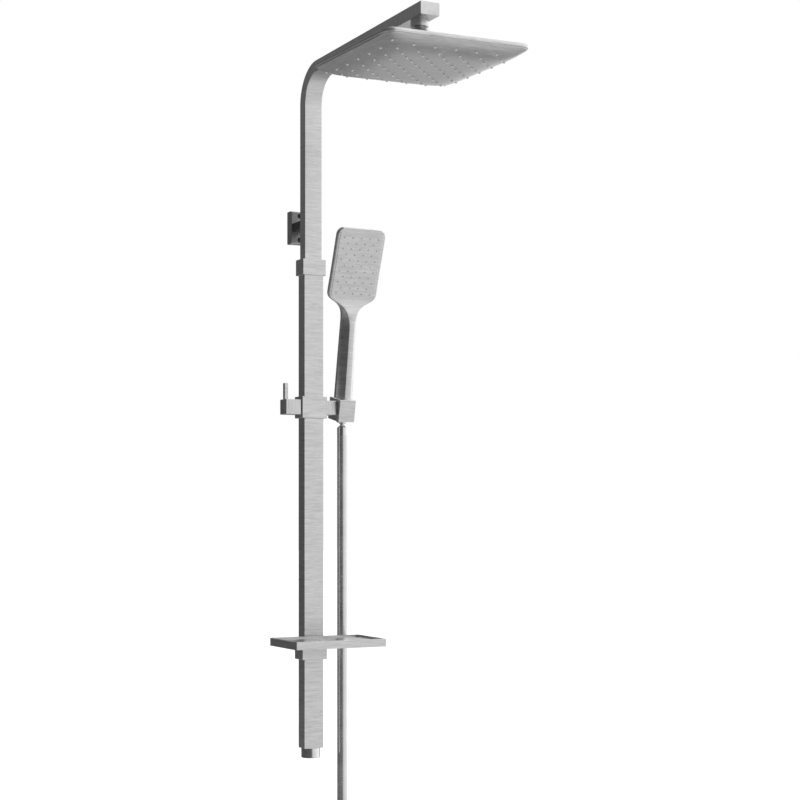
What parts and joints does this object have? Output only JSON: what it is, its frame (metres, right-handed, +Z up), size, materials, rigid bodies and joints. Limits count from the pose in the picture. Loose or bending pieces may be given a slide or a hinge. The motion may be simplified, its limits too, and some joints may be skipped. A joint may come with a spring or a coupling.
{
  "type": "rainfall shower column",
  "caption": "Wall-hung rainfall shower column: square overhead spray on a gooseneck arm, sliding hand shower with hose, and a sliding soap dish.",
  "frame": {"origin": "centre of the wall plate's back face, on the wall", "axes": "+Z up along the column, +Y into the wall, -Y out into the room, +X to the right of somebody who faces the wall"},
  "size_m": [0.2527, 0.5107, 1.3876],
  "materials": {
    "brushed_nickel": "brushed across the faces, satin",
    "plated_abs": "moulded plastic with a brushed nickel plating",
    "black_plastic": "matt moulded",
    "dark_steel": "blackened",
    "brass": "turned",
    "chrome": "polished",
    "silicone_grey": "matt moulded",
    "rubber_black": "matt",
    "white_nylon": "matt moulded",
    "hose_silver": "smooth silver hose"
  },
  "bodies": {
    "riser": {"wall_plate": "brushed_nickel", "wall_screws": "dark_steel", "bracket_stem": "black_plastic", "stem_bolt": "dark_steel", "riser_insert": "brass", "bracket_grub_screw": "dark_steel", "riser_tube": "brushed_nickel", "arm_end_cap": "brushed_nickel", "arm_seal": "rubber_black", "riser_guide": "black_plastic", "riser_seals": "rubber_black", "outlet_boss": "brushed_nickel"},
    "ball_stud": {"ball_stud": "chrome", "flow_restrictor": "white_nylon"},
    "rain_head": {"swivel_nut": "brushed_nickel", "ball_seat": "white_nylon", "inlet_filter": "white_nylon", "head_top_shell": "plated_abs", "head_face": "plated_abs", "head_nozzle_mat": "silicone_grey", "head_screws": "dark_steel"},
    "rail": {"rail_tube": "brushed_nickel", "rail_collar": "brushed_nickel", "collar_wiper": "rubber_black", "collar_grub_screw": "dark_steel", "rail_end_plug": "brass", "inlet_bush": "chrome", "inlet_o_ring": "rubber_black"},
    "slider": {"slider_body": "brushed_nickel", "slider_liner": "white_nylon", "brake_pad": "white_nylon", "holder_stub": "brushed_nickel", "stub_screw": "dark_steel"},
    "knob": {"knob": "brushed_nickel", "knob_spindle": "brass", "knob_lever": "brushed_nickel"},
    "holder": {"holder_block": "brushed_nickel", "tilt_screw": "dark_steel", "tilt_washer": "white_nylon"},
    "handset": {"handset_body": "plated_abs", "handset_face": "plated_abs", "handset_nozzle_mat": "silicone_grey", "handset_washer": "rubber_black", "hose_nut_top": "chrome"},
    "hose": {"hose_ball_end": "chrome", "hose_tube": "hose_silver", "hose_hank": "hose_silver", "hose_tie": "rubber_black", "hose_end_ferrule": "brass"},
    "hose_nut": {"hose_nut_bottom": "chrome"},
    "dish": {"dish_tray": "brushed_nickel", "dish_screws": "dark_steel", "dish_sleeve": "brushed_nickel", "dish_sleeve_liner": "white_nylon", "dish_grub_screw": "dark_steel"}
  },
  "joints": [
    {"name": "rail_slide", "type": "slide", "parent": "riser", "child": "rail", "axis": [0, 0, 1], "range_m": [-0.12, 0.02]},
    {"name": "head_spin", "type": "hinge", "parent": "riser", "child": "ball_stud", "pos_m": [0, -0.3765, 0.186], "axis": [0, 0, 1], "continuous": true},
    {"name": "head_tilt", "type": "hinge", "parent": "ball_stud", "child": "rain_head", "pos_m": [0, -0.3765, 0.186], "axis": [1, 0, 0], "range_deg": [-8, 8]},
    {"name": "slider_slide", "type": "slide", "parent": "rail", "child": "slider", "axis": [0, 0, 1], "range_m": [-0.14, 0.16]},
    {"name": "knob_turn", "type": "hinge", "parent": "slider", "child": "knob", "pos_m": [-0.032, -0.05, -0.2645], "axis": [1, 0, 0], "range_deg": [0, 90]},
    {"name": "holder_tilt", "type": "hinge", "parent": "slider", "child": "holder", "pos_m": [0.05, -0.05, -0.2645], "axis": [1, 0, 0], "range_deg": [-2, 25]},
    {"name": "handset_turn", "type": "hinge", "parent": "holder", "child": "handset", "pos_m": [0.05, -0.05297, -0.26494], "axis": [0, -0.1478, 0.989], "range_deg": [-5, 60]},
    {"name": "hose_hang", "type": "hinge", "parent": "holder", "child": "hose", "pos_m": [0.05, -0.05045, -0.28176], "axis": [1, 0, 0], "range_deg": [-25, 2]},
    {"name": "hose_nut_spin", "type": "hinge", "parent": "hose", "child": "hose_nut", "pos_m": [0.05, -0.02995, -1.09734], "axis": [0, 0, 1], "continuous": true},
    {"name": "dish_slide", "type": "slide", "parent": "rail", "child": "dish", "axis": [0, 0, 1], "range_m": [-0.1, 0.14]}
  ],
  "couplings": [
    {"joint": "hose_hang", "follows": "holder_tilt", "ratio": -1}
  ]
}
